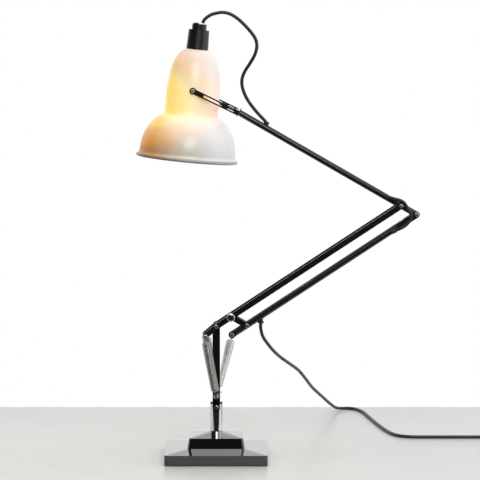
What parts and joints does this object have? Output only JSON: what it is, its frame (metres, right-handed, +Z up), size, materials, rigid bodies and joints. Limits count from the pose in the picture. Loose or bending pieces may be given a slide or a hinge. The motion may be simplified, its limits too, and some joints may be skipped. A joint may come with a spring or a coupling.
{
  "type": "architect desk lamp",
  "caption": "Spring-balanced desk lamp with a square stepped base, swivel mast, double lower arm, tubular forearm and a tilting translucent china shade on a fork.",
  "frame": {"origin": "centre of the base's underside, under the mast's swivel axis", "axes": "+Z up along the swivel axis; +X from the mast towards the elbow, in the plane of the arm; +Y away from the side with the tension knob"},
  "size_m": [0.6251, 0.5364, 0.6635],
  "materials": {
    "gloss_black": "high gloss black enamel",
    "arm_black": "satin gloss black powder coat",
    "felt": "pressed felt",
    "iron": "raw casting",
    "chrome": "polished plate",
    "spring_steel": "bright drawn wire",
    "steel": "turned, lightly polished",
    "black_plastic": "moulded, semi-gloss",
    "nylon": "moulded nylon",
    "rubber": "moulded rubber",
    "cable": "smooth black PVC sheath",
    "tie": "hook and loop strap",
    "plug_plastic": "moulded, fine texture",
    "brass": "plain",
    "cap_metal": "plain",
    "bulb": "frosted inside",
    "china": "thin translucent bone china, clear glaze"
  },
  "bodies": {
    "base": {"base_felt": "felt", "base_plate": "gloss_black", "base_riser": "gloss_black", "ballast": "iron", "spindle": "steel", "spindle_washer": "steel", "spindle_nut": "steel", "mains_cord": "cable", "cord_coil": "cable", "coil_tie": "tie", "plug_body": "plug_plastic", "plug_pins": "brass"},
    "mast": {"swivel_barrel": "chrome", "barrel_cap": "black_plastic", "mast_plate_near": "gloss_black", "mast_plate_far": "gloss_black", "mast_screw": "chrome", "mast_nut": "chrome", "spring_studs": "steel", "spring_cross_pin": "steel", "arm_spring_near": "spring_steel", "arm_spring_far": "spring_steel", "forearm_spring": "spring_steel"},
    "lower_arm": {"arm_bar_near": "arm_black", "arm_bar_far": "arm_black", "shoulder_pin": "steel", "arm_spring_pins": "steel", "knob_pin": "steel", "tension_knob": "chrome", "knob_cap": "black_plastic", "elbow_pin": "steel", "pivot_spacers": "arm_black"},
    "link": {"link_near": "arm_black", "link_far": "arm_black", "link_pin": "steel"},
    "lower_tube": {"lower_tube": "arm_black", "tube_clevis": "arm_black", "mains_grommet": "rubber"},
    "spring_pin": {"spring_end_pin": "steel"},
    "forearm": {"forearm_tube": "arm_black", "clevis_pin": "steel", "forearm_plug": "arm_black", "head_cable_grommet": "rubber", "elbow_cable": "cable", "head_cable": "cable"},
    "ferrule": {"cable_ferrule": "rubber"},
    "fork": {"fork_strap": "arm_black", "swivel_screw": "steel", "swivel_washer": "nylon"},
    "shade": {"china_shade": "china", "shade_screws": "steel", "shade_nuts": "steel", "shade_washers": "nylon", "shade_ring": "black_plastic", "lampholder": "black_plastic", "lampholder_cap": "black_plastic", "socket_shell": "brass", "bulb_base": "cap_metal", "bulb_glass": "bulb"},
    "switch": {"switch_button": "black_plastic"}
  },
  "joints": [
    {"name": "base_swivel", "type": "hinge", "parent": "base", "child": "mast", "pos_m": [0, 0, 0.06], "axis": [0, 0, 1], "range_deg": [-135, 135], "deforming": ["mains_cord"]},
    {"name": "shoulder", "type": "hinge", "parent": "mast", "child": "lower_arm", "pos_m": [0, 0, 0.198], "axis": [0, -1, 0], "range_deg": [-20, 36], "deforming": ["arm_spring_near", "arm_spring_far", "forearm_spring"]},
    {"name": "elbow", "type": "hinge", "parent": "lower_arm", "child": "forearm", "pos_m": [0.27247, 0, 0.37698], "axis": [0, 1, 0], "range_deg": [-32, 50], "deforming": ["elbow_cable"]},
    {"name": "link_swing", "type": "hinge", "parent": "lower_arm", "child": "link", "pos_m": [0.02173, 0, 0.21227], "axis": [0, 1, 0], "range_deg": [-32, 50]},
    {"name": "tube_swing", "type": "hinge", "parent": "link", "child": "lower_tube", "pos_m": [0.04514, 0, 0.19881], "axis": [0, 1, 0], "range_deg": [-50, 32]},
    {"name": "spring_pin_swing", "type": "hinge", "parent": "lower_arm", "child": "spring_pin", "pos_m": [0, 0, 0.198], "axis": [0, 1, 0], "range_deg": [-32, 50]},
    {"name": "ferrule_swing", "type": "hinge", "parent": "forearm", "child": "ferrule", "pos_m": [0.29588, 0, 0.36352], "axis": [0, 1, 0], "range_deg": [-50, 32]},
    {"name": "head_swivel", "type": "hinge", "parent": "forearm", "child": "fork", "pos_m": [0.03434, 0, 0.51392], "axis": [-0.8669, 0, 0.4985], "range_deg": [-60, 60], "deforming": ["head_cable"]},
    {"name": "shade_tilt", "type": "hinge", "parent": "fork", "child": "shade", "pos_m": [-0.03343, 0, 0.54697], "axis": [0, 1, 0], "range_deg": [-14, 55]},
    {"name": "switch_press", "type": "slide", "parent": "shade", "child": "switch", "axis": [-0.0958, 0, -0.9954], "range_m": [0, 0.0012], "stiffness_N_per_m": 900, "springref_m": -0.002}
  ],
  "couplings": [
    {"joint": "link_swing", "follows": "elbow", "ratio": 1},
    {"joint": "tube_swing", "follows": "elbow", "ratio": -1},
    {"joint": "spring_pin_swing", "follows": "elbow", "ratio": 1},
    {"joint": "ferrule_swing", "follows": "elbow", "ratio": -1}
  ]
}
